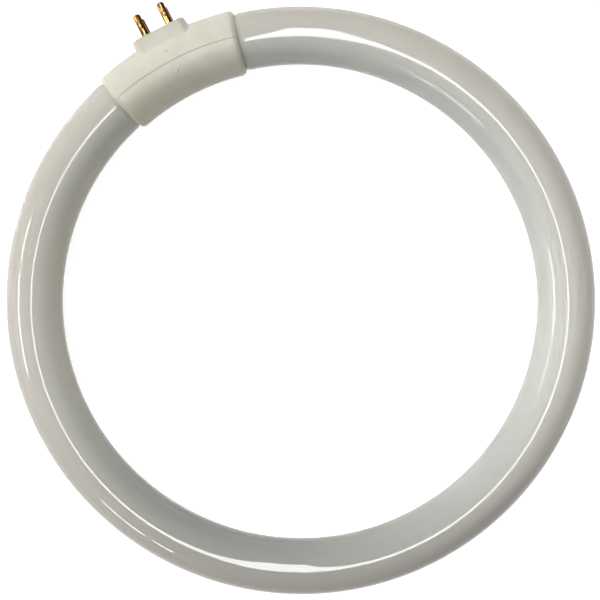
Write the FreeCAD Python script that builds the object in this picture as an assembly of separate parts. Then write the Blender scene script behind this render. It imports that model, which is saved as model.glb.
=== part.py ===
import FreeCAD, Part
import math
import os

# Circular fluorescent tube with a two-part plastic cap and four radial contact pins.
# Lengths are in millimetres and angles in degrees.
# The model is built about the ring's centre: the ring's axis is Z, and the cap sits at +Y.
# On export it is moved so that the origin is the middle of the four pins, on the cap's seating face.

# Glass ring
RING_DIA = 180.0           # over the outside of the glass
TUBE_DIA = 17.0            # glass tube
NECK_STEP = 0.4            # how much the tube's radius shrinks where it enters the cap
NECK_RUN = 2.6             # length of that shoulder, outside the cap's mouth
END_GAP = 20.0             # between the two ends of the neck, inside the cap
END_ROUND = 2.4            # round shoulder at the sealed end
FUNNEL_DEPTH = 3.6         # re-entrant seal, measured from the sealed end's rim
FUNNEL_FLOOR_RADIUS = 3.9  # flat floor that the lead wires come out of
FUNNEL_MOUTH_RADIUS = 5.1
TIP_RADIUS = 1.9           # sealed-off exhaust tube
TIP_LENGTH = 5.0

# Plastic cap
CAP_LENGTH = 41.2          # along the ring's centre line
CAP_WALL = 1.25
CAP_CLEARANCE = 0.3        # radial, between the neck and the cap
RIM_ROUND = 1.7            # rounded outer edge at each mouth
PARTING_DRAFT = 4.5        # how far each half's wall leans from the pull direction at the parting line
PARTING_GAP = 0.12         # open line between the two halves
RIB_THICKNESS = 1.0        # ribs inside the cap that stop the glass ends
RIB_CLEARANCE = 0.3
RIB_HEIGHT = 2.6
BOSS_RADIUS = 1.6          # bosses that join the two halves
BOSS_WALL_BITE = 0.1       # how far a boss reaches into the cap's wall
PEG_RADIUS = 0.7
PEG_LENGTH = 1.6
PEG_CLEARANCE = 0.1
MARK_RADIUS = 0.45         # hollow gate mark on the outer half
MARK_OFFSET = 3.3          # from the parting line
NUB_RADIUS = 0.6           # raised gate mark on the inner half
NUB_SINK = 0.2             # how far its middle lies below the surface

# Pin block, moulded on the outer half
BLOCK_LENGTH = 17.0        # along the ring, at the seating face
BLOCK_WIDTH = 14.4         # along the ring's axis, at the seating face
BLOCK_HEIGHT = 1.1         # from the crown of the sleeve to the seating face
BLOCK_DRAFT = 2.5
BLOCK_CORNER = 2.0
BLOCK_EDGE = 0.5           # fillet round the seating face
BLOCK_FOOT = 0.8           # fillet where the block meets the sleeve
BLOCK_WALL = 1.5
BLOCK_TOP = 2.4

# Contact pins
PIN_DIA = 2.3
PIN_PROJECTION = 7.5       # beyond the seating face
PIN_SPACING_ALONG = 7.92   # along the ring
PIN_SPACING_ACROSS = 6.35  # along the ring's axis
PIN_TIP_ROUND = 0.75
PIN_BORE_DIA = 1.4
PIN_FIT = 0.03             # radial, in the block
PIN_SHANK_DIA = 2.8        # thicker length inside the block
PIN_SHANK_SINK = 0.05      # how far that length ends below the seating face
PIN_FLANGE_DIA = 3.6
PIN_FLANGE = 0.7
PIN_BOSS_DIA = 4.4
PIN_BOSS_HEIGHT = 2.0
CRIMP_HEIGHT = 3.9         # middle of the crimp, above the seating face
CRIMP_LENGTH = 2.3
CRIMP_DEPTH = 0.4

# Lead wires
WIRE_DIA = 0.6
WIRE_BEND_RADIUS = 3.2

# Values worked out from the ones above
TUBE_RADIUS = TUBE_DIA / 2
RING_RADIUS = RING_DIA / 2 - TUBE_RADIUS
NECK_RADIUS = TUBE_RADIUS - NECK_STEP
CAP_INNER_RADIUS = NECK_RADIUS + CAP_CLEARANCE
CAP_RADIUS = CAP_INNER_RADIUS + CAP_WALL
MOUTH_ANGLE = math.degrees(CAP_LENGTH / 2 / RING_RADIUS)
NECK_START_ANGLE = math.degrees((CAP_LENGTH / 2 + NECK_RUN) / RING_RADIUS)
NECK_END_ANGLE = math.degrees(END_GAP / 2 / RING_RADIUS)
SEAT_Y = RING_RADIUS + CAP_RADIUS + BLOCK_HEIGHT
CEILING_Y = SEAT_Y - BLOCK_TOP
PIN_SEAT_Y = CEILING_Y - PIN_BOSS_HEIGHT
PIN_RADIUS = PIN_DIA / 2
SHANK_RADIUS = PIN_SHANK_DIA / 2
SHANK_END_Y = SEAT_Y - PIN_SHANK_SINK
CRIMP_Y = SEAT_Y + CRIMP_HEIGHT
BORE_END_Y = CRIMP_Y - CRIMP_LENGTH / 2
REACH = 2 * RING_DIA       # larger than the whole part, for cutting tools

ORIGIN = FreeCAD.Vector(0, 0, 0)
AXIS_Y = FreeCAD.Vector(0, 1, 0)
AXIS_Z = FreeCAD.Vector(0, 0, 1)


def on_ring(shape, angle):
    """Turns a shape made at the middle of the cap to a place along the ring, clockwise."""
    placed = shape.copy()
    placed.rotate(ORIGIN, AXIS_Z, -angle)
    return placed


def ring_circle(radius, angle):
    """A circle across the tube at an angle from the middle of the cap."""
    circle = Part.makeCircle(radius, FreeCAD.Vector(0, RING_RADIUS, 0), FreeCAD.Vector(1, 0, 0))
    return on_ring(Part.Wire(circle), angle)


def ring_segment(radius, start, end):
    """A solid stretch of tube between two angles, both counted clockwise from the cap's middle."""
    section = Part.Face(ring_circle(radius, start))
    return section.revolve(ORIGIN, AXIS_Z, start - end)


def neck_shoulder():
    """The smooth step from the full tube down to the neck, beside one mouth of the cap."""
    steps = 4
    sections = []
    for step in range(steps + 1):
        share = step / steps
        fall = (1 - math.cos(math.pi * share)) / 2
        angle = NECK_START_ANGLE + share * (MOUTH_ANGLE - NECK_START_ANGLE)
        sections.append(ring_circle(TUBE_RADIUS - NECK_STEP * fall, angle))
    return Part.makeLoft(sections, True, False)


def turned(points_and_arcs):
    """Turns a closed outline in the X-Y plane about the X axis. An arc is given by its middle and end."""
    edges = []
    here = points_and_arcs[0]
    for item in points_and_arcs[1:]:
        if len(item) == 2 and isinstance(item[0], tuple):
            middle, there = item
            edges.append(Part.Arc(flat(here), flat(middle), flat(there)).toShape())
        else:
            there = item
            edges.append(Part.LineSegment(flat(here), flat(there)).toShape())
        here = there
    edges.append(Part.LineSegment(flat(here), flat(points_and_arcs[0])).toShape())
    outline = Part.Face(Part.Wire(edges))
    return outline.revolve(ORIGIN, FreeCAD.Vector(1, 0, 0), 360)


def flat(point):
    """A point of an outline as a vector."""
    return FreeCAD.Vector(point[0], point[1], 0)


def at_neck_end(shape):
    """Moves a shape made along X to the end of the neck, with X pointing out of the glass."""
    placed = shape.copy()
    placed.rotate(ORIGIN, AXIS_Z, 180)
    placed.translate(FreeCAD.Vector(0, RING_RADIUS, 0))
    return on_ring(placed, NECK_END_ANGLE)


def sealed_end():
    """The round shoulder that closes one end of the tube."""
    diagonal = END_ROUND * math.sqrt(0.5)
    inner = NECK_RADIUS - END_ROUND
    arc = ((diagonal, inner + diagonal), (END_ROUND, inner))
    return at_neck_end(turned([(0, 0), (0, NECK_RADIUS), arc, (END_ROUND, 0)]))


def funnel():
    """The hollow of the re-entrant seal, as a cutting tool."""
    floor = END_ROUND - FUNNEL_DEPTH
    outline = [(floor, 0), (floor, FUNNEL_FLOOR_RADIUS), (END_ROUND, FUNNEL_MOUTH_RADIUS)]
    outline += [(2 * END_ROUND, FUNNEL_MOUTH_RADIUS), (2 * END_ROUND, 0)]
    return at_neck_end(turned(outline))


def exhaust_tip():
    """The sealed-off exhaust tube in the middle of the seal."""
    floor = END_ROUND - FUNNEL_DEPTH
    shoulder = floor + TIP_LENGTH - TIP_RADIUS
    diagonal = TIP_RADIUS * math.sqrt(0.5)
    arc = ((shoulder + diagonal, diagonal), (shoulder + TIP_RADIUS, 0))
    return at_neck_end(turned([(floor, 0), (floor, TIP_RADIUS), (shoulder, TIP_RADIUS), arc]))


def mirrored(shape):
    """The same shape on the other side of the cap's middle plane."""
    return shape.mirror(ORIGIN, FreeCAD.Vector(1, 0, 0))


def glass_tube():
    """The whole sealed glass ring, solid, with its necks and seals."""
    ring = ring_segment(TUBE_RADIUS, NECK_START_ANGLE, 360 - NECK_START_ANGLE)
    neck = ring_segment(NECK_RADIUS, NECK_END_ANGLE, MOUTH_ANGLE)
    one_end = neck.fuse([neck_shoulder(), sealed_end()])
    one_end = one_end.cut(funnel())
    one_end = one_end.fuse(exhaust_tip())
    return ring.fuse([one_end, mirrored(one_end)]).removeSplitter()


def rounded_slab(length, width, corner, height):
    """A rectangle with round corners in a plane across Y, at a height from the ring's centre."""
    x = length / 2
    z = width / 2
    turn = corner * (1 - math.sqrt(0.5))
    edges = []
    for sx, sz in ((1, 1), (-1, 1), (-1, -1), (1, -1)):
        ends = [(sx * x, sz * (z - corner)), (sx * (x - corner), sz * z)]
        if sx * sz < 0:
            ends.reverse()
        start, end = [FreeCAD.Vector(px, height, pz) for px, pz in ends]
        middle = FreeCAD.Vector(sx * (x - turn), height, sz * (z - turn))
        if edges:
            edges.append(Part.LineSegment(edges[-1].Vertexes[-1].Point, start).toShape())
        edges.append(Part.Arc(start, middle, end).toShape())
    first = edges[0].Vertexes[0].Point
    edges.append(Part.LineSegment(edges[-1].Vertexes[-1].Point, first).toShape())
    return Part.Wire(edges)


def block_form(inset, top):
    """The drafted block between the tube's centre line and a top, drawn in by an inset."""
    spread = (top - RING_RADIUS) * math.tan(math.radians(BLOCK_DRAFT))
    short = (SEAT_Y - top) * math.tan(math.radians(BLOCK_DRAFT))
    length = BLOCK_LENGTH + 2 * (short - inset)
    width = BLOCK_WIDTH + 2 * (short - inset)
    corner = max(BLOCK_CORNER - inset, BLOCK_EDGE)
    low = rounded_slab(length + 2 * spread, width + 2 * spread, corner, RING_RADIUS)
    high = rounded_slab(length, width, corner, top)
    return Part.makeLoft([low, high], True, True)


def edges_at_height(shape, height):
    """The edges that lie in one plane across Y."""
    return [e for e in shape.Edges if abs(e.BoundBox.YMin - height) + abs(e.BoundBox.YMax - height) < 1e-6]


def from_centre_line(point):
    """How far a point lies from the tube's centre line."""
    return math.hypot(math.hypot(point.x, point.y) - RING_RADIUS, point.z)


def foot_edges(shape, block):
    """The edges where the block's walls meet the sleeve."""
    found = []
    for edge in shape.Edges:
        middle = edge.valueAt((edge.FirstParameter + edge.LastParameter) / 2)
        on_sleeve = abs(from_centre_line(middle) - CAP_RADIUS) < 1e-4
        if on_sleeve and block.isInside(middle, 1e-4, True):
            found.append(edge)
    return found


def cap_section():
    """The closed cap's outline across the tube: a round arc on each half, drafted straight to the parting line."""
    lean = math.radians(PARTING_DRAFT)
    corner = CAP_RADIUS / math.cos(lean)
    y = CAP_RADIUS * math.sin(lean)
    z = CAP_RADIUS * math.cos(lean)
    edges = []
    for side in (1, -1):
        corners = [(0, side * corner), (side * y, side * z), (side * CAP_RADIUS, 0), (side * y, -side * z)]
        corners.append((0, -side * corner))
        first, start, middle, end, last = [FreeCAD.Vector(0, RING_RADIUS + py, pz) for py, pz in corners]
        edges.append(Part.LineSegment(first, start).toShape())
        edges.append(Part.Arc(start, middle, end).toShape())
        edges.append(Part.LineSegment(end, last).toShape())
    return Part.Face(Part.Wire(edges))


def cap_body():
    """The outside of the closed cap: a rounded sleeve on the ring."""
    section = on_ring(cap_section(), -MOUTH_ANGLE)
    sleeve = section.revolve(ORIGIN, AXIS_Z, -2 * MOUTH_ANGLE)
    rims = []
    for face in sleeve.Faces:
        if isinstance(face.Surface, Part.Plane):
            rims += face.Edges
    return sleeve.makeFillet(RIM_ROUND, rims)


def cap_cavity():
    """The round bore through the cap, a little longer than the cap."""
    margin = math.degrees(CAP_WALL / RING_RADIUS)
    return ring_segment(CAP_INNER_RADIUS, -MOUTH_ANGLE - margin, MOUTH_ANGLE + margin)


def inside_parting():
    """Everything on the ring centre's side of the parting line."""
    height = FreeCAD.Vector(0, 0, -REACH / 2)
    return Part.makeCylinder(RING_RADIUS - PARTING_GAP / 2, REACH, height, AXIS_Z)


def outside_parting():
    """Everything beyond the parting line."""
    height = FreeCAD.Vector(0, 0, -REACH / 2)
    whole = Part.makeCylinder(REACH, REACH, height, AXIS_Z)
    return whole.cut(Part.makeCylinder(RING_RADIUS + PARTING_GAP / 2, REACH, height, AXIS_Z))


def stop_ribs():
    """Two ring-shaped ribs that the sealed glass ends stop against."""
    start = NECK_END_ANGLE - math.degrees((END_ROUND + RIB_CLEARANCE) / RING_RADIUS)
    width = math.degrees(RIB_THICKNESS / RING_RADIUS)
    ring = ring_segment(CAP_INNER_RADIUS + CAP_WALL / 2, start - width, start)
    rib = ring.cut(ring_segment(CAP_INNER_RADIUS - RIB_HEIGHT, start - 2 * width, start + width))
    return rib.fuse(mirrored(rib))


def boss_places():
    """The middles of the two joining bosses, on the tube's centre line."""
    z = CAP_INNER_RADIUS + BOSS_WALL_BITE - BOSS_RADIUS
    return [FreeCAD.Vector(0, RING_RADIUS, z), FreeCAD.Vector(0, RING_RADIUS, -z)]


def joining_bosses(direction):
    """Two bosses that stand on the cap's wall and meet at the tube's centre line."""
    bosses = []
    for place in boss_places():
        bosses.append(Part.makeCylinder(BOSS_RADIUS, CAP_RADIUS, place, AXIS_Y * direction))
    inside = ring_segment(CAP_INNER_RADIUS + CAP_WALL / 2, -MOUTH_ANGLE, MOUTH_ANGLE)
    return bosses[0].fuse(bosses[1]).common(inside)


def rods(radius, start, length):
    """Four rods along Y in the pins' places."""
    made = []
    for x, z in pin_places():
        made.append(Part.makeCylinder(radius, length, FreeCAD.Vector(x, start, z), AXIS_Y))
    return made


def pin_places():
    """The four pins' places along the ring and across it."""
    x = PIN_SPACING_ALONG / 2
    z = PIN_SPACING_ACROSS / 2
    return [(-x, z), (x, z), (-x, -z), (x, -z)]


def mark_place(side):
    """A point on the cap's upper surface, to one side of the parting line."""
    height = math.sqrt(CAP_RADIUS ** 2 - MARK_OFFSET ** 2)
    return FreeCAD.Vector(0, RING_RADIUS + side * MARK_OFFSET, height)


def cap_outer_half():
    """The outer half of the cap, with the pin block, the pin bosses and the sockets."""
    body = cap_body()
    block = block_form(0, SEAT_Y)
    block = block.makeFillet(BLOCK_EDGE, edges_at_height(block, SEAT_Y))
    body = body.fuse(block)
    body = body.makeFillet(BLOCK_FOOT, foot_edges(body, block))
    body = body.cut([cap_cavity(), block_form(BLOCK_WALL, CEILING_Y)])
    body = body.common(outside_parting())
    ribs = stop_ribs().common(outside_parting())
    body = body.fuse([ribs, joining_bosses(1)])
    body = body.fuse(rods(PIN_BOSS_DIA / 2, PIN_SEAT_Y, PIN_BOSS_HEIGHT + BLOCK_TOP / 2))
    body = body.cut(rods(SHANK_RADIUS + PIN_FIT, PIN_SEAT_Y, REACH))
    for place in boss_places():
        depth = PEG_LENGTH + PEG_CLEARANCE
        body = body.cut(Part.makeCylinder(PEG_RADIUS + PEG_CLEARANCE, depth, place, AXIS_Y))
    return body.cut(Part.makeSphere(MARK_RADIUS, mark_place(1))).removeSplitter()


def cap_inner_half():
    """The inner half of the cap, with its ribs, bosses and locating pegs."""
    body = cap_body().cut(cap_cavity())
    body = body.common(inside_parting())
    ribs = stop_ribs().common(inside_parting())
    body = body.fuse([ribs, joining_bosses(-1)])
    for place in boss_places():
        body = body.fuse(Part.makeCylinder(PEG_RADIUS, PEG_LENGTH, place, AXIS_Y))
    nub = Part.makeSphere(NUB_RADIUS, mark_place(-1) - FreeCAD.Vector(0, 0, NUB_SINK))
    return body.fuse(nub).removeSplitter()


def contact_pin(place):
    """A hollow pin with a flange and a thicker shank in the block, a round tip and a wire crimp."""
    tip = SEAT_Y + PIN_PROJECTION
    inner_end = PIN_SEAT_Y - PIN_FLANGE
    bend = PIN_TIP_ROUND * math.sqrt(0.5)
    shoulder = tip - PIN_TIP_ROUND
    flat_radius = PIN_RADIUS - PIN_TIP_ROUND
    arc = ((shoulder + bend, flat_radius + bend), (tip, flat_radius))
    outline = [(inner_end, 0), (inner_end, PIN_FLANGE_DIA / 2), (PIN_SEAT_Y, PIN_FLANGE_DIA / 2)]
    outline += [(PIN_SEAT_Y, SHANK_RADIUS), (SHANK_END_Y, SHANK_RADIUS), (SHANK_END_Y, PIN_RADIUS)]
    outline += [(shoulder, PIN_RADIUS), arc, (tip, 0)]
    pin = turned(outline)
    pin.rotate(ORIGIN, AXIS_Z, 90)
    depth = BORE_END_Y - inner_end
    bore = Part.makeCylinder(PIN_BORE_DIA / 2, depth, FreeCAD.Vector(0, inner_end, 0), AXIS_Y)
    side = math.copysign(1, place[1])
    radius = (CRIMP_LENGTH ** 2 / 4 + CRIMP_DEPTH ** 2) / (2 * CRIMP_DEPTH)
    offset = side * (PIN_RADIUS - CRIMP_DEPTH + radius)
    crimp = Part.makeSphere(radius, FreeCAD.Vector(0, CRIMP_Y, offset))
    pin = pin.cut([bore, crimp])
    pin.translate(FreeCAD.Vector(place[0], 0, place[1]))
    return pin


def lead_wire(place):
    """A wire from the floor of a glass seal, round one bend, up to the end of its pin's bore."""
    side = math.copysign(1, place[0])
    lean = math.radians(NECK_END_ANGLE)
    along = FreeCAD.Vector(-side * math.cos(lean), math.sin(lean), 0)
    neck_end = FreeCAD.Vector(side * math.sin(lean), math.cos(lean), 0) * RING_RADIUS
    start = neck_end + along * (END_ROUND - FUNNEL_DEPTH)
    run = (start.x - place[0]) / (side * math.cos(lean))
    corner = start + along * run
    half_turn = math.radians(90 - NECK_END_ANGLE) / 2
    reach = WIRE_BEND_RADIUS * math.tan(half_turn)
    bend_start = corner - along * reach
    bend_end = corner + AXIS_Y * reach
    inward = (AXIS_Y - along).normalize()
    middle = corner + inward * (WIRE_BEND_RADIUS / math.cos(half_turn) - WIRE_BEND_RADIUS)
    path = Part.Wire([
        Part.LineSegment(start, bend_start).toShape(),
        Part.Arc(bend_start, middle, bend_end).toShape(),
        Part.LineSegment(bend_end, FreeCAD.Vector(corner.x, BORE_END_Y, 0)).toShape(),
    ])
    section = Part.Wire(Part.makeCircle(WIRE_DIA / 2, start, along))
    wire = path.makePipeShell([section], True, False)
    wire.translate(FreeCAD.Vector(0, 0, place[1]))
    return wire


def export(name, shape):
    """Writes one piece with the origin moved to the middle of the pins, on the seating face."""
    placed = shape.copy()
    placed.translate(FreeCAD.Vector(0, -SEAT_Y, 0))
    placed.exportStep("parts/" + name + ".step")


def main():
    """Builds every piece of the lamp."""
    os.makedirs("parts", exist_ok=True)
    export("glass_tube", glass_tube())
    export("cap_outer_half", cap_outer_half())
    export("cap_inner_half", cap_inner_half())
    for number, place in enumerate(pin_places(), start=1):
        export("contact_pin_" + str(number), contact_pin(place))
        export("lead_wire_" + str(number), lead_wire(place))


main()
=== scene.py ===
import logging
import math
from dataclasses import dataclass
from enum import Enum

import bpy
import numpy as np
from mathutils import Matrix, Vector


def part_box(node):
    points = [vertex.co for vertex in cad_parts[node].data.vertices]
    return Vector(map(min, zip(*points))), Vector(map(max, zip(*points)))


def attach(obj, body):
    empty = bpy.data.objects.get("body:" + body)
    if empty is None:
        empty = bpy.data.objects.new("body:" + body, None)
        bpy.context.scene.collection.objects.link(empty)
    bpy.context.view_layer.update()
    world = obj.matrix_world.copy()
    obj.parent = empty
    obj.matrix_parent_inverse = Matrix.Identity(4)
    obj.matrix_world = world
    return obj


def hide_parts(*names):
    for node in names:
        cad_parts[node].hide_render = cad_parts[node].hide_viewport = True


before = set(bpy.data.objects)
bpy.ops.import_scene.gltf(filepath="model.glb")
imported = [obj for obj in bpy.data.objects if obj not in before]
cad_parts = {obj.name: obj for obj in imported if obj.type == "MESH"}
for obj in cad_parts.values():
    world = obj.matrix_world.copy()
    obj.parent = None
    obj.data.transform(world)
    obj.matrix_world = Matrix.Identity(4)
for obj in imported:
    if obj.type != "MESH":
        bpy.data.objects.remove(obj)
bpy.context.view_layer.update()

MM = 0.001
WHITE = (1, 1, 1, 1)

# Millimetres in the part's frame: the radius of the ring's centre line, and the Y of its centre.
RING_RADIUS = 81.5
RING_CENTRE_Y = -92.25

# The turn from the picture's axes to the part's axes.
PICTURE_TURN = math.radians(-26.6)

# Metres of sideways lean, below which a lamp counts as hanging straight overhead.
OVERHEAD_LEAN = 1e-6

# The sRGB curve: straight up to the knee, and a power above it.
SRGB_KNEE = 0.04045
SRGB_SLOPE = 12.92
SRGB_OFFSET = 0.055
SRGB_POWER = 2.4

# The numbers of the four pins and of the wires that end in them.
PIN_NUMBERS = range(1, 5)

Place = tuple[float, float, float]

log = logging.getLogger("ring_lamp")


class Slot(Enum):
    """Finish slots of the part's record that a piece takes its finish from."""

    GLASS = "milky_glass"
    PLASTIC = "cap_plastic"
    BRASS = "pin_brass"
    NICKEL = "wire_nickel"


def linear(colour: str) -> tuple[float, float, float, float]:
    """Turns an sRGB hex colour to linear light.

    Args:
        colour: Six hex digits, such as "E8E6DC".

    Returns:
        Red, green, blue and an alpha of 1.
    """
    parts = np.array([int(colour[i:i + 2], 16) for i in (0, 2, 4)]) / 255
    low = parts / SRGB_SLOPE
    high = ((parts + SRGB_OFFSET) / (1 + SRGB_OFFSET)) ** SRGB_POWER
    return (*np.where(parts <= SRGB_KNEE, low, high).tolist(), 1.0)


def picture_to_part(x: float, y: float, z: float) -> Vector:
    """Turns a place in the picture's axes to the part's frame.

    Args:
        x: Millimetres to the picture's right from the ring's centre.
        y: Millimetres up the picture.
        z: Millimetres towards the viewer.

    Returns:
        The place in metres in the part's frame.
    """
    turned = Matrix.Rotation(PICTURE_TURN, 3, "Z") @ Vector((x, y, z))
    return (turned + Vector((0, RING_CENTRE_Y, 0))) * MM


def add_node(
        tree: bpy.types.NodeTree, kind: str, inputs: dict | None = None,
        **settings) -> bpy.types.Node:
    """Adds one shader node with its settings and links.

    Args:
        tree: The node tree.
        kind: The node's type name.
        inputs: Socket name or number to a value, or to an output socket that is linked to it.
        settings: Attributes of the node itself.

    Returns:
        The new node.
    """
    node = tree.nodes.new(kind)
    for key, value in settings.items():
        setattr(node, key, value)
    for key, value in (inputs or {}).items():
        if isinstance(value, bpy.types.NodeSocket):
            tree.links.new(value, node.inputs[key])
        else:
            node.inputs[key].default_value = value
    return node


def add_noise(
        tree: bpy.types.NodeTree, place: bpy.types.NodeSocket, size_mm: float, detail: float,
        roughness: float = 0.5) -> bpy.types.NodeSocket:
    """Adds a noise pattern of a given size.

    Args:
        tree: The node tree.
        place: The coordinates that the pattern follows.
        size_mm: Length of its largest blotches.
        detail: Number of finer layers on them.
        roughness: Strength of each finer layer against the one before, by default Blender's own.

    Returns:
        The pattern, from 0 to 1.
    """
    noise = add_node(tree, "ShaderNodeTexNoise", {
        "Vector": place, "Scale": 1 / (size_mm * MM), "Detail": detail, "Roughness": roughness})
    return noise.outputs["Fac"]


def add_bump(
        tree: bpy.types.NodeTree, height: bpy.types.NodeSocket, strength: float,
        height_mm: float) -> bpy.types.NodeSocket:
    """Adds a bump that tilts the surface by a pattern.

    Args:
        tree: The node tree.
        height: The pattern.
        strength: Share of the tilt that is used.
        height_mm: The pattern's height from its lowest to its highest value.

    Returns:
        The tilted normal.
    """
    bump = add_node(tree, "ShaderNodeBump", {
        "Height": height, "Strength": strength, "Distance": height_mm * MM})
    return bump.outputs["Normal"]


def add_surface(tree: bpy.types.NodeTree, inputs: dict) -> None:
    """Adds a finish's shader and joins it to the output.

    Args:
        tree: The node tree.
        inputs: The shader's socket names to values or output sockets.
    """
    shader = add_node(tree, "ShaderNodeBsdfPrincipled", inputs)
    add_node(tree, "ShaderNodeOutputMaterial", {"Surface": shader.outputs["BSDF"]})


def new_material(name: str) -> tuple[bpy.types.Material, bpy.types.NodeTree]:
    """Makes an empty node material.

    Args:
        name: The material's name.

    Returns:
        The material and its node tree.
    """
    material = bpy.data.materials.new(name)
    material.use_nodes = True
    material.node_tree.nodes.clear()
    return material, material.node_tree


def set_stops(ramp: bpy.types.Node, stops: list[tuple[float, str]]) -> None:
    """Sets a colour ramp's stops.

    Args:
        ramp: The ramp node.
        stops: Place along the ramp and its sRGB hex colour, in order.
    """
    elements = ramp.color_ramp.elements
    while len(elements) < len(stops):
        elements.new(1.0)
    for element, (place, colour) in zip(elements, stops):
        element.position = place
        element.color = linear(colour)


def seen_rays(tree: bpy.types.NodeTree) -> bpy.types.NodeSocket:
    """Adds the test for rays that show the background: seen, mirrored or through glass.

    Args:
        tree: The node tree of the floor's material or the world.

    Returns:
        A socket that is 1 for such rays and 0 for the light on the object.
    """
    path = add_node(tree, "ShaderNodeLightPath")
    seen = add_node(tree, "ShaderNodeMath", {
        0: path.outputs["Is Camera Ray"], 1: path.outputs["Is Glossy Ray"]}, operation="MAXIMUM")
    shown = add_node(tree, "ShaderNodeMath", {
        0: seen.outputs[0], 1: path.outputs["Is Transmission Ray"]}, operation="MAXIMUM")
    return shown.outputs[0]


def grid_quads(rows: int, columns: int) -> np.ndarray:
    """Gives the quads of a grid whose points are numbered row by row, and whose rows are closed.

    Args:
        rows: Rows of points.
        columns: Points in each row, of which the last joins the first.

    Returns:
        An array of four point numbers for each quad.
    """
    row = np.arange(rows - 1)[:, None] * columns
    column = np.arange(columns)[None, :]
    after = (column + 1) % columns
    quads = np.stack([
        row + column, row + after, row + columns + after, row + columns + column], axis=-1)
    return quads.reshape(-1, 4)


def make_piece(
        name: str, points: np.ndarray, faces: list[list[int]],
        material: bpy.types.Material) -> bpy.types.Object:
    """Makes a mesh object at the origin from points in millimetres about the ring's centre.

    Args:
        name: The piece's name.
        points: One row for each point.
        faces: Point numbers of each face, outward by the right-hand rule.
        material: The piece's material.

    Returns:
        The new object, smooth shaded, riding on the part's one body.
    """
    placed = (points.reshape(-1, 3) + np.array([0.0, RING_CENTRE_Y, 0.0])) * MM
    mesh = bpy.data.meshes.new(name)
    mesh.from_pydata(placed.tolist(), [], faces)
    mesh.polygons.foreach_set("use_smooth", np.ones(len(mesh.polygons), dtype=bool))
    mesh.materials.append(material)
    mesh.update()
    piece = bpy.data.objects.new(name, mesh)
    bpy.context.scene.collection.objects.link(piece)
    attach(piece, "root")
    return piece


@dataclass(frozen=True)
class CoatedTubeGlass:
    """Soda-lime glass tube, drawn, bent to a ring and coated white on the inside.

    The clear wall gives hard, bright reflections, and the powder coat behind it gives a soft milky
    body. Its colour is painted a little warmer on the outside of the bend and greener on the
    inside, a painted tint of the light that each side reflects.
    """

    # Painted reflection tint: the outside colour is warmer and the inside colour greener, for the
    # light each side of the ring reflects.
    outside: str = "DAD5C9"
    inside: str = "D5D6CE"
    inside_stop: float = 0.25
    outside_stop: float = 0.75
    roughness: float = 0.015
    ior: float = 1.52
    tube_radius: float = 8.5
    cloud_mm: float = 9.0
    cloud_detail: float = 3.0
    cloud_roughness: float = 0.55
    cloud_low: float = 0.3
    cloud_high: float = 0.7
    cloud_shade: float = 0.975
    wave_mm: float = 26.0
    wave_detail: float = 1.0
    wave_strength: float = 0.05
    wave_height_mm: float = 0.4

    def build(self) -> bpy.types.Material:
        """Builds the material.

        The painted reflection tint follows a point's distance from the ring's axis, the length of
        its
        X and Y.

        Returns:
            The material.
        """
        material, tree = new_material("coated_tube_glass")
        place = add_node(tree, "ShaderNodeTexCoord").outputs["Object"]
        centred = add_node(tree, "ShaderNodeVectorMath", {
            0: place, 1: (0, -RING_CENTRE_Y * MM, 0)}, operation="ADD")
        level = add_node(tree, "ShaderNodeVectorMath", {
            0: centred.outputs[0], 1: (1, 1, 0)}, operation="MULTIPLY")
        reach = add_node(tree, "ShaderNodeVectorMath", {0: level.outputs[0]}, operation="LENGTH")
        nearest = (RING_RADIUS - self.tube_radius) * MM
        farthest = (RING_RADIUS + self.tube_radius) * MM
        across = add_node(tree, "ShaderNodeMapRange", {
            "Value": reach.outputs["Value"], "From Min": nearest, "From Max": farthest})
        # Painted reflection tint across the tube, from the inside colour to the outside colour.
        painted_reflection_tint = add_node(tree, "ShaderNodeValToRGB", {"Fac": across.outputs["Result"]})
        set_stops(painted_reflection_tint, [(self.inside_stop, self.inside), (self.outside_stop, self.outside)])
        cloud = add_noise(tree, place, self.cloud_mm, self.cloud_detail, self.cloud_roughness)
        shade = add_node(tree, "ShaderNodeMapRange", {
            "Value": cloud, "From Min": self.cloud_low, "From Max": self.cloud_high,
            "To Min": self.cloud_shade, "To Max": 1.0})
        mixed = {"Factor": 1.0, "A": painted_reflection_tint.outputs["Color"], "B": shade.outputs["Result"]}
        body = add_node(tree, "ShaderNodeMix", mixed, data_type="RGBA", blend_type="MULTIPLY")
        wave = add_noise(tree, place, self.wave_mm, self.wave_detail)
        add_surface(tree, {
            "Base Color": body.outputs["Result"], "Roughness": self.roughness, "IOR": self.ior,
            "Normal": add_bump(tree, wave, self.wave_strength, self.wave_height_mm)})
        return material


@dataclass(frozen=True)
class MouldedCapPlastic:
    """White thermoplastic, injection moulded with a lightly blasted tool.

    The skin is satin with a faint grain, and the white is warm from a little yellowing.
    """

    colour: str = "EEEBDC"
    aged: str = "E6E2D0"
    colour_stop: float = 0.35
    aged_stop: float = 0.75
    roughness: float = 0.3
    ior: float = 1.49
    cloud_mm: float = 7.0
    cloud_detail: float = 4.0
    cloud_roughness: float = 0.6
    grain_mm: float = 0.25
    grain_detail: float = 2.0
    grain_strength: float = 0.12
    grain_height_mm: float = 0.05

    def build(self) -> bpy.types.Material:
        """Builds the material.

        Returns:
            The material.
        """
        material, tree = new_material("moulded_cap_plastic")
        place = add_node(tree, "ShaderNodeTexCoord").outputs["Object"]
        cloud = add_noise(tree, place, self.cloud_mm, self.cloud_detail, self.cloud_roughness)
        tone = add_node(tree, "ShaderNodeValToRGB", {"Fac": cloud})
        set_stops(tone, [(self.colour_stop, self.colour), (self.aged_stop, self.aged)])
        grain = add_noise(tree, place, self.grain_mm, self.grain_detail)
        add_surface(tree, {
            "Base Color": tone.outputs["Color"], "Roughness": self.roughness, "IOR": self.ior,
            "Normal": add_bump(tree, grain, self.grain_strength, self.grain_height_mm)})
        return material


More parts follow.
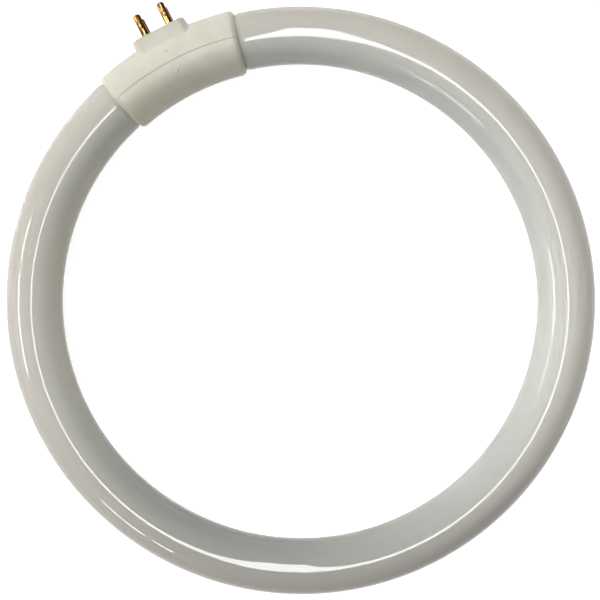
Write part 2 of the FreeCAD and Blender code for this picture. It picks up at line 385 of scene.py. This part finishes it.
@dataclass(frozen=True)
class TurnedPinBrass:
    """Brass, drawn as tube, with draw lines that break its reflections into gold and brown streaks.

    The photograph shows the pins dark along one side and a little at the tip. That is painted shade
    and painted dark reflection, and every pin gets it on its +X side.
    """

    colour: str = "E8BC76"
    dull: str = "4A2B0E"
    dull_stop: float = 0.455
    colour_stop: float = 0.565
    roughness: float = 0.16
    streak_mm: float = 0.4
    streak_length_mm: float = 9.0
    streak_detail: float = 2.0
    streak_strength: float = 0.15
    streak_height_mm: float = 0.03
    spacing_mm: float = 7.92
    side_start_mm: float = 0.1
    side_end_mm: float = 0.75
    # Painted shade and dark reflection: each pin is darker along its +X side and towards its tip.
    side_painted_shade: float = 0.14
    tip_start_mm: float = 4.6
    tip_end_mm: float = 6.6
    tip_painted_shade: float = 0.035

    def build(self) -> bpy.types.Material:
        """Builds the material.

        The pins stand half a spacing on either side of X = 0, so the remainder of X by the spacing
        is half a spacing on the axis of each. The painted shade of side and tip is taken off the
        streaks.

        Returns:
            The material.
        """
        material, tree = new_material("turned_pin_brass")
        place = add_node(tree, "ShaderNodeTexCoord").outputs["Object"]
        across = 1 / (self.streak_mm * MM)
        along = 1 / (self.streak_length_mm * MM)
        stretched = add_node(tree, "ShaderNodeVectorMath", {
            0: place, 1: (across, along, across)}, operation="MULTIPLY")
        streaks = add_node(tree, "ShaderNodeTexNoise", {
            "Vector": stretched.outputs[0], "Scale": 1.0, "Detail": self.streak_detail})
        split = add_node(tree, "ShaderNodeSeparateXYZ", {0: place})
        axis = self.spacing_mm / 2
        from_pin = add_node(tree, "ShaderNodeMath", {
            0: split.outputs["X"], 1: self.spacing_mm * MM}, operation="FLOORED_MODULO")
        # Painted shade along each pin's +X side, and towards the tip below.
        side = add_node(tree, "ShaderNodeMapRange", {
            "Value": from_pin.outputs[0], "From Min": (axis + self.side_start_mm) * MM,
            "From Max": (axis + self.side_end_mm) * MM, "To Min": 0.0,
            "To Max": self.side_painted_shade})
        tip = add_node(tree, "ShaderNodeMapRange", {
            "Value": split.outputs["Y"], "From Min": self.tip_start_mm * MM,
            "From Max": self.tip_end_mm * MM, "To Min": 0.0, "To Max": self.tip_painted_shade})
        painted_shade = add_node(tree, "ShaderNodeMath", {
            0: side.outputs["Result"], 1: tip.outputs["Result"]}, operation="ADD")
        bright = add_node(tree, "ShaderNodeMath", {
            0: streaks.outputs["Fac"], 1: painted_shade.outputs[0]}, operation="SUBTRACT")
        tone = add_node(tree, "ShaderNodeValToRGB", {"Fac": bright.outputs[0]})
        set_stops(tone, [(self.dull_stop, self.dull), (self.colour_stop, self.colour)])
        marks = add_bump(tree, streaks.outputs["Fac"], self.streak_strength, self.streak_height_mm)
        add_surface(tree, {
            "Base Color": tone.outputs["Color"], "Metallic": 1.0, "Roughness": self.roughness,
            "Normal": marks})
        return material


@dataclass(frozen=True)
class DrawnNickelWire:
    """Nickel-plated lead wire, drawn through a die: grey, evenly satin, with faint draw lines."""

    colour: str = "C8C6C0"
    dull: str = "A5A29B"
    dull_stop: float = 0.3
    colour_stop: float = 0.7
    roughness: float = 0.32
    line_mm: float = 0.05
    line_detail: float = 1.0

    def build(self) -> bpy.types.Material:
        """Builds the material.

        Returns:
            The material.
        """
        material, tree = new_material("drawn_nickel_wire")
        place = add_node(tree, "ShaderNodeTexCoord").outputs["Object"]
        lines = add_noise(tree, place, self.line_mm, self.line_detail)
        tone = add_node(tree, "ShaderNodeValToRGB", {"Fac": lines})
        set_stops(tone, [(self.dull_stop, self.dull), (self.colour_stop, self.colour)])
        add_surface(tree, {
            "Base Color": tone.outputs["Color"], "Metallic": 1.0, "Roughness": self.roughness})
        return material


@dataclass
class GlassRing:
    """The sealed glass tube: one skin of circles carried along the ring, with a seal at each end.

    Lengths are in millimetres and angles in degrees, clockwise from the middle of the cap.
    """

    ring_radius: float = RING_RADIUS
    neck_step: float = 0.4
    neck_run: float = 1.3
    cap_length: float = 41.2
    end_gap: float = 20.0
    end_round: float = 2.4
    seal_depth: float = 3.6
    seal_floor: float = 3.9
    seal_mouth: float = 5.1
    tip_radius: float = 1.9
    tip_length: float = 5.0
    crease: float = 0.04
    segments: int = 112
    quarter_rings: int = 9
    neck_rings: int = 10
    slope_rings: int = 14
    body_rings: int = 400

    def tube_radius(self) -> float:
        """Reads the glass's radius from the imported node, whose facets lie inside the true circle.

        Returns:
            The radius in millimetres.
        """
        low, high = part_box("glass_tube")
        widest = (high[0] - low[0]) / MM / 2
        farthest = RING_CENTRE_Y - low[1] / MM
        return min(widest, farthest) - self.ring_radius

    def end_profile(self, neck: float) -> np.ndarray:
        """Gives the sealed end, from the tip's pole back to the neck.

        A hemisphere and a rod make the tip, a cone makes the seal's wall, and a quarter circle
        makes the shoulder that runs into the neck. Rings on both sides of each corner keep it
        crisp.

        Args:
            neck: The neck's radius.

        Returns:
            Rows of an offset out of the neck and a radius.
        """
        crease = self.crease
        quarter = np.linspace(0, math.pi / 2, self.quarter_rings)
        floor = self.end_round - self.seal_depth
        rod_end = floor + self.tip_length - self.tip_radius
        tip = np.stack([
            rod_end + self.tip_radius * np.cos(quarter), self.tip_radius * np.sin(quarter)], axis=1)
        tip[0, 1] = crease
        seal = np.array([
            [floor + crease, self.tip_radius],
            [floor, self.tip_radius + crease],
            [floor, self.seal_floor - crease],
            [floor + crease, self.seal_floor],
            [self.end_round - crease, self.seal_mouth - crease],
            [self.end_round, self.seal_mouth],
        ])
        flat = neck - self.end_round
        shoulder = np.stack([
            self.end_round * np.cos(quarter), flat + self.end_round * np.sin(quarter)], axis=1)
        return np.concatenate([tip, seal, shoulder])

    def build(self, material: bpy.types.Material) -> bpy.types.Object:
        """Builds the whole glass skin.

        Each circle has a place along the ring, a push along the tube there, and a radius. A point
        of it is at (reach sin a + push cos a, reach cos a - push sin a, radius sin u), with reach
        the ring's radius plus radius cos u. The radius falls by half a cosine wave from the tube
        to the neck.

        Args:
            material: The glass.

        Returns:
            The glass piece.
        """
        tube = self.tube_radius()
        neck = tube - self.neck_step
        degree = math.degrees(1 / self.ring_radius)
        neck_end = self.end_gap / 2 * degree
        mouth = self.cap_length / 2 * degree
        full = mouth + self.neck_run * degree
        end = self.end_profile(neck)
        inner = np.linspace(neck_end, mouth, self.neck_rings)[1:-1]
        slope = np.linspace(mouth, full, self.slope_rings)
        body = np.linspace(full, 360 - full, self.body_rings)[1:-1]
        way = np.concatenate([
            np.full(len(end), neck_end), inner, slope, body,
            360 - slope[::-1], 360 - inner[::-1], np.full(len(end), 360 - neck_end)])
        fall = (1 + np.cos(np.pi * (slope - mouth) / (full - mouth))) / 2
        shoulder = tube - self.neck_step * fall
        radius = np.concatenate([
            end[:, 1], np.full(len(inner), neck), shoulder, np.full(len(body), tube),
            shoulder[::-1], np.full(len(inner), neck), end[::-1, 1]])
        push = np.concatenate([-end[:, 0], np.zeros(len(way) - 2 * len(end)), end[::-1, 0]])
        a = np.radians(way)[:, None]
        u = np.linspace(0, 2 * np.pi, self.segments, endpoint=False)[None, :]
        reach = self.ring_radius + radius[:, None] * np.cos(u)
        points = np.stack([
            reach * np.sin(a) + push[:, None] * np.cos(a),
            reach * np.cos(a) - push[:, None] * np.sin(a),
            radius[:, None] * np.sin(u)], axis=-1)
        faces = grid_quads(len(way), self.segments).tolist()
        last = (len(way) - 1) * self.segments
        faces.append(list(range(self.segments - 1, -1, -1)))
        faces.append(list(range(last, last + self.segments)))
        piece = make_piece("glass_ring", points, faces, material)
        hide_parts("glass_tube")
        return piece


@dataclass
class CarriedNodes:
    """Pieces whose solids are already fine enough and only take a finish."""

    nodes: tuple[str, ...]

    def dress(self, material: bpy.types.Material) -> None:
        """Puts a finish on every node.

        Args:
            material: The finish.
        """
        for name in self.nodes:
            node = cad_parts[name]
            node.data.materials.clear()
            node.data.materials.append(material)
            log.info("%s carries %s", name, material.name)


@dataclass(frozen=True)
class Panel:
    """One lamp of the studio, placed in the picture's axes and facing a point near the ring.

    Lengths are in millimetres and the spread in degrees. The width is level. The height runs up and
    down, or along the picture's upright for a lamp overhead.
    """

    name: str
    place: Place
    width: float
    height: float
    radiance: float
    colour: str = "FFFFFF"
    spread: float = 180.0
    mirrored: bool = True
    aim: Place = (0.0, 0.0, 0.0)

    def build(self) -> bpy.types.Object:
        """Builds the area lamp.

        Returns:
            The lamp.
        """
        lamp = bpy.data.lights.new(self.name, "AREA")
        lamp.shape = "RECTANGLE"
        lamp.size = self.width * MM
        lamp.size_y = self.height * MM
        lamp.energy = math.pi * self.radiance * lamp.size * lamp.size_y
        lamp.color = linear(self.colour)[:3]
        lamp.spread = math.radians(self.spread)
        made = bpy.data.objects.new(self.name, lamp)
        bpy.context.scene.collection.objects.link(made)
        place = picture_to_part(*self.place)
        away = place - picture_to_part(*self.aim)
        right = Vector((0, 0, 1)).cross(away)
        if right.length < OVERHEAD_LEAN:
            right = picture_to_part(1, 0, 0) - picture_to_part(0, 0, 0)
        right.normalize()
        back = away.normalized()
        axes = Matrix((right, back.cross(right), back)).transposed()
        made.visible_glossy = self.mirrored
        made.matrix_world = Matrix.Translation(place) @ axes.to_4x4()
        return made


def beam(
        name: str, place: Place, aim: Place, side: float, radiance: float, spread: float,
        colour: str = "FFFFFF") -> Panel:
    """Describes a small square lamp with a narrow beam that shows in no reflection.

    Args:
        name: The lamp's name.
        place: Where it hangs, in the picture's axes.
        aim: The point that it faces.
        side: Its width and height.
        radiance: Its brightness.
        spread: The beam's full angle in degrees.
        colour: Its sRGB hex colour.

    Returns:
        The lamp's panel.
    """
    return Panel(name, place, side, side, radiance, colour, spread, mirrored=False, aim=aim)


@dataclass
class Studio:
    """A pale floor, a pale world, the lamps that the glass mirrors, and narrow beams.

    The glass mirrors the ceiling lamp, the panes and the sky. Each beam lights the cap or one part
    of the ring, and its radiance was fitted so that the render is about as bright there as the
    photograph.
    """

    floor_height: float = -9.65
    floor_climb: float = 1.15
    floor_size: float = 6000.0
    floor_dark: str = "B0AFAD"
    floor_light: str = "B3B2B0"
    dark_stop: float = 0.3
    light_stop: float = 0.7
    mottle_scale: float = 6.0
    mottle_detail: float = 2.0
    floor_glow: float = 0.9
    world_light: float = 0.08
    world_shown: float = 1.0
    panels: tuple[Panel, ...] = (
        Panel("ceiling_lamp", (-38, 230, 2000), 165, 1140, 13.0, aim=(-38, 230, 0)),
        Panel("window_upper_pane", (-636, 102, 421), 96, 60, 17.0),
        Panel("window_lower_pane", (-636, -86, 421), 236, 60, 17.0),
        Panel("side_window_wide_pane", (-397, -497, 421), 119, 55, 15.0),
        Panel("side_window_narrow_pane", (-311, -555, 421), 50, 55, 15.0),
        Panel("window_sky", (-640, -60, 190), 360, 170, 0.9, "EAF2F2"),
        beam("cap_key", (-1000, 100, 350), (-42, 85, 0), 200, 0.214, 8.0),
        beam("top_key", (-250, 900, 600), (-25, 85, 0), 150, 0.309, 6.0),
        beam("low_key", (-600, 400, 450), (66, -40, 0), 120, 0.272, 7.0),
        beam("top_fill", (300, 450, 600), (60, 60, 0), 100, 0.21, 8.0),
        beam("left_fill", (500, 60, 300), (-78, 10, 0), 100, 0.142, 9.0, "FFF0CB"),
        beam("left_overhead", (-200, 0, 900), (-78, -30, 0), 80, 0.167, 6.0),
        beam("right_overhead", (150, 100, 900), (80, -10, 0), 80, 0.219, 6.0),
    )

    def floor_material(self) -> bpy.types.Material:
        """Builds the floor's finish: matt, with a glow that only the background's rays see.

        Returns:
            The material.
        """
        material, tree = new_material("studio_floor")
        place = add_node(tree, "ShaderNodeTexCoord").outputs["Object"]
        mottle = add_node(tree, "ShaderNodeTexNoise", {
            "Vector": place, "Scale": self.mottle_scale, "Detail": self.mottle_detail})
        tone = add_node(tree, "ShaderNodeValToRGB", {"Fac": mottle.outputs["Fac"]})
        set_stops(tone, [(self.dark_stop, self.floor_dark), (self.light_stop, self.floor_light)])
        matt = add_node(tree, "ShaderNodeBsdfDiffuse", {"Color": tone.outputs["Color"]})
        glow = add_node(tree, "ShaderNodeEmission", {"Color": WHITE, "Strength": self.floor_glow})
        both = add_node(tree, "ShaderNodeAddShader", {0: matt.outputs[0], 1: glow.outputs[0]})
        surface = add_node(tree, "ShaderNodeMixShader", {
            0: seen_rays(tree), 1: matt.outputs[0], 2: both.outputs[0]})
        add_node(tree, "ShaderNodeOutputMaterial", {"Surface": surface.outputs[0]})
        return material

    def floor(self) -> None:
        """Builds the floor, a plane that just touches the cap and the glass opposite it.

        It is at its own height under the cap's side of the ring, and it climbs in a straight line
        to the glass opposite.
        """
        half = self.floor_size / 2
        along = np.array([-half, half, half, -half])
        away = np.array([-half, -half, half, half])
        slope = self.floor_climb / (2 * RING_RADIUS)
        middle = self.floor_height + slope * RING_RADIUS
        points = np.stack([along, away + RING_CENTRE_Y, middle - slope * away], axis=1) * MM
        mesh = bpy.data.meshes.new("floor")
        mesh.from_pydata(points.tolist(), [], [[0, 1, 2, 3]])
        mesh.materials.append(self.floor_material())
        floor = bpy.data.objects.new("floor", mesh)
        bpy.context.scene.collection.objects.link(floor)

    def world(self) -> None:
        """Builds the pale world: white where it is seen or mirrored, and weaker as light."""
        world = bpy.data.worlds.new("studio_world")
        world.use_nodes = True
        tree = world.node_tree
        tree.nodes.clear()
        level = add_node(tree, "ShaderNodeMapRange", {
            "Value": seen_rays(tree), "To Min": self.world_light, "To Max": self.world_shown})
        light = add_node(tree, "ShaderNodeBackground", {
            "Color": WHITE, "Strength": level.outputs["Result"]})
        add_node(tree, "ShaderNodeOutputWorld", {"Surface": light.outputs[0]})
        bpy.context.scene.world = world

    def build(self) -> None:
        """Builds the floor, the world and the lamps."""
        self.floor()
        self.world()
        for panel in self.panels:
            log.info("lamp %s", panel.build().name)


@dataclass
class PictureCamera:
    """The camera at the photograph's viewing angle.

    Its place, lens and sensor are in millimetres, its turns in radians, and the nearest and
    farthest that it sees in metres.
    """

    place: Place = (12.0967, 21.69844, 300.0)
    nod: float = -0.06648
    swing: float = 0.03797
    lens: float = 58.87
    sensor: float = 36.0
    nearest: float = 0.01
    farthest: float = 20.0

    def build(self) -> None:
        """Builds the camera and makes it the scene's."""
        data = bpy.data.cameras.new("camera")
        data.lens = self.lens
        data.sensor_width = self.sensor
        data.clip_start = self.nearest
        data.clip_end = self.farthest
        camera = bpy.data.objects.new("camera", data)
        bpy.context.scene.collection.objects.link(camera)
        axes = Matrix.Rotation(self.nod, 3, "X") @ Matrix.Rotation(self.swing, 3, "Y")
        turned = Matrix.Rotation(PICTURE_TURN, 3, "Z") @ axes
        camera.matrix_world = Matrix.Translation(picture_to_part(*self.place)) @ turned.to_4x4()
        bpy.context.scene.camera = camera


# The finish of each slot, and the nodes that keep their solid and only take their slot's finish.
FINISHES = {
    Slot.GLASS: CoatedTubeGlass(),
    Slot.PLASTIC: MouldedCapPlastic(),
    Slot.BRASS: TurnedPinBrass(),
    Slot.NICKEL: DrawnNickelWire(),
}
CARRIED = {
    Slot.PLASTIC: CarriedNodes(("cap_outer_half", "cap_inner_half")),
    Slot.BRASS: CarriedNodes(tuple(f"contact_pin_{n}" for n in PIN_NUMBERS)),
    Slot.NICKEL: CarriedNodes(tuple(f"lead_wire_{n}" for n in PIN_NUMBERS)),
}


def report(piece: bpy.types.Object) -> None:
    """Logs a piece and its size in faces."""
    log.info("%s: %d faces", piece.name, len(piece.data.polygons))


def main() -> None:
    """Builds the camera, the studio and every piece of the lamp."""
    logging.basicConfig(level=logging.INFO, format="%(message)s")
    PictureCamera().build()
    Studio().build()
    report(GlassRing().build(FINISHES[Slot.GLASS].build()))
    for slot, nodes in CARRIED.items():
        nodes.dress(FINISHES[slot].build())
    bpy.context.scene.view_settings.view_transform = "Standard"


if __name__ == "__main__":
    main()
